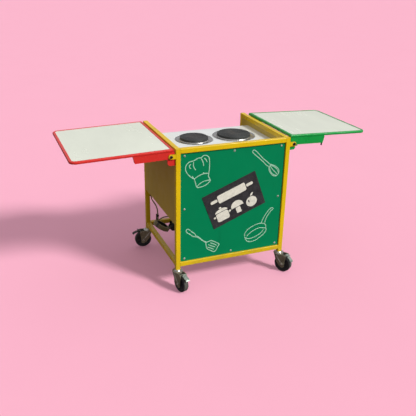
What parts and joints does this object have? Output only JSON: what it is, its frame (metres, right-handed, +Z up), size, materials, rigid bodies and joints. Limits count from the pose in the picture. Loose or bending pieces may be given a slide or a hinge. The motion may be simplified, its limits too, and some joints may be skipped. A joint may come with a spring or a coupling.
{
  "type": "mobile cooking trolley",
  "caption": "Mobile cooking trolley on braked casters: tube frame with a front panel, a recessed hob with round hot plates, and fold-down side leaves.",
  "frame": {"origin": "on the floor, under the middle of the whole object's box with its leaves up", "axes": "+Z up, +Y towards the cook's side, front panel faces -Y, +X towards the green leaf"},
  "size_m": [1.6309, 0.7404, 0.8026],
  "materials": {
    "yellow_paint": "gloss",
    "green_panel": "gloss",
    "red_paint": "gloss",
    "green_paint": "gloss",
    "white_enamel": "gloss",
    "hob_steel": "satin",
    "amber_lens": "gloss",
    "cast_iron": "satin",
    "bright_steel": "satin",
    "dark_steel": "satin",
    "zinc": "satin",
    "black_plastic": "satin",
    "black_rubber": "matte",
    "white_laminate": "gloss"
  },
  "bodies": {
    "base": {"post_front_left": "yellow_paint", "post_front_right": "yellow_paint", "post_rear_left": "yellow_paint", "post_rear_right": "yellow_paint", "rail_top_front": "yellow_paint", "rail_top_left": "yellow_paint", "rail_top_right": "yellow_paint", "rail_low_front": "yellow_paint", "rail_low_left": "yellow_paint", "rail_low_right": "yellow_paint", "rail_low_back": "yellow_paint", "rail_mid_back": "yellow_paint", "side_panel_left": "yellow_paint", "side_panel_right": "yellow_paint", "well_walls": "yellow_paint", "front_panel": "green_panel", "panel_strips": "yellow_paint", "panel_screws": "bright_steel", "hob_top": "white_enamel", "hob_body": "hob_steel", "hob_lamps": "amber_lens", "hot_plate_left": "cast_iron", "hot_plate_right": "cast_iron", "spill_rings": "bright_steel", "lugs_left": "yellow_paint", "lugs_right": "yellow_paint", "bolts_left": "dark_steel", "bolts_right": "dark_steel", "bump_plates_left": "red_paint", "bump_plates_right": "green_paint", "caster_heads": "zinc", "lead_gland": "black_plastic", "lead_drop": "black_rubber", "lead_coil": "black_rubber", "lead_tail": "black_rubber", "lead_hooks": "dark_steel", "lead_plug": "black_plastic"},
    "left_leaf": {"leaf_left_rim": "red_paint", "leaf_left_top": "white_laminate", "arm_left_front": "red_paint", "arm_left_back": "red_paint"},
    "right_leaf": {"leaf_right_rim": "green_paint", "leaf_right_top": "white_laminate", "arm_right_front": "green_paint", "arm_right_back": "green_paint", "hook_pin": "dark_steel"},
    "left_knob": {"knob_left": "black_plastic"},
    "right_knob": {"knob_right": "black_plastic"},
    "swivel_front_left": {"fork_front_left": "zinc"},
    "roller_front_left": {"wheel_front_left": "black_rubber"},
    "brake_front_left": {"pedal_front_left": "zinc"},
    "swivel_front_right": {"fork_front_right": "zinc"},
    "roller_front_right": {"wheel_front_right": "black_rubber"},
    "brake_front_right": {"pedal_front_right": "zinc"},
    "swivel_rear_left": {"fork_rear_left": "zinc"},
    "roller_rear_left": {"wheel_rear_left": "black_rubber"},
    "brake_rear_left": {"pedal_rear_left": "zinc"},
    "swivel_rear_right": {"fork_rear_right": "zinc"},
    "roller_rear_right": {"wheel_rear_right": "black_rubber"},
    "brake_rear_right": {"pedal_rear_right": "zinc"}
  },
  "joints": [
    {"name": "left_leaf_fold", "type": "hinge", "parent": "base", "child": "left_leaf", "pos_m": [-0.3288, -0.2715, 0.754], "axis": [0, -1, 0], "range_deg": [0, 88]},
    {"name": "right_leaf_fold", "type": "hinge", "parent": "base", "child": "right_leaf", "pos_m": [0.3592, -0.2715, 0.754], "axis": [0, 1, 0], "range_deg": [0, 88]},
    {"name": "left_knob_turn", "type": "hinge", "parent": "base", "child": "left_knob", "pos_m": [-0.1348, 0.18, 0.71], "axis": [0, -1, 0], "range_deg": [0, 270]},
    {"name": "right_knob_turn", "type": "hinge", "parent": "base", "child": "right_knob", "pos_m": [0.1652, 0.18, 0.71], "axis": [0, -1, 0], "range_deg": [0, 270]},
    {"name": "swivel_turn_front_left", "type": "hinge", "parent": "base", "child": "swivel_front_left", "pos_m": [-0.2923, -0.2715, 0.11], "axis": [0, 0, 1], "continuous": true},
    {"name": "wheel_roll_front_left", "type": "hinge", "parent": "swivel_front_left", "child": "roller_front_left", "pos_m": [-0.2835, -0.30434, 0.05], "axis": [0.9659, 0.2588, 0], "continuous": true},
    {"name": "brake_press_front_left", "type": "hinge", "parent": "swivel_front_left", "child": "brake_front_left", "pos_m": [-0.27949, -0.31931, 0.1035], "axis": [0.9659, 0.2588, 0], "range_deg": [0, 25]},
    {"name": "swivel_turn_front_right", "type": "hinge", "parent": "base", "child": "swivel_front_right", "pos_m": [0.3227, -0.2715, 0.11], "axis": [0, 0, 1], "continuous": true},
    {"name": "wheel_roll_front_right", "type": "hinge", "parent": "swivel_front_right", "child": "roller_front_right", "pos_m": [0.34122, -0.30001, 0.05], "axis": [0.8387, 0.5446, 0], "continuous": true},
    {"name": "brake_press_front_right", "type": "hinge", "parent": "swivel_front_right", "child": "brake_front_right", "pos_m": [0.34966, -0.31301, 0.1035], "axis": [0.8387, 0.5446, 0], "range_deg": [-25, 0]},
    {"name": "swivel_turn_rear_left", "type": "hinge", "parent": "base", "child": "swivel_rear_left", "pos_m": [-0.2923, 0.2715, 0.11], "axis": [0, 0, 1], "continuous": true},
    {"name": "wheel_roll_rear_left", "type": "hinge", "parent": "swivel_rear_left", "child": "roller_rear_left", "pos_m": [-0.32622, 0.27387, 0.05], "axis": [-0.0698, -0.9976, 0], "continuous": true},
    {"name": "brake_press_rear_left", "type": "hinge", "parent": "swivel_rear_left", "child": "brake_rear_left", "pos_m": [-0.34168, 0.27495, 0.1035], "axis": [-0.0698, -0.9976, 0], "range_deg": [0, 25]},
    {"name": "swivel_turn_rear_right", "type": "hinge", "parent": "base", "child": "swivel_rear_right", "pos_m": [0.3227, 0.2715, 0.11], "axis": [0, 0, 1], "continuous": true},
    {"name": "wheel_roll_rear_right", "type": "hinge", "parent": "swivel_rear_right", "child": "roller_rear_right", "pos_m": [0.3315, 0.30434, 0.05], "axis": [-0.9659, 0.2588, 0], "continuous": true},
    {"name": "brake_press_rear_right", "type": "hinge", "parent": "swivel_rear_right", "child": "brake_rear_right", "pos_m": [0.33551, 0.31931, 0.1035], "axis": [-0.9659, 0.2588, 0], "range_deg": [0, 25]}
  ]
}
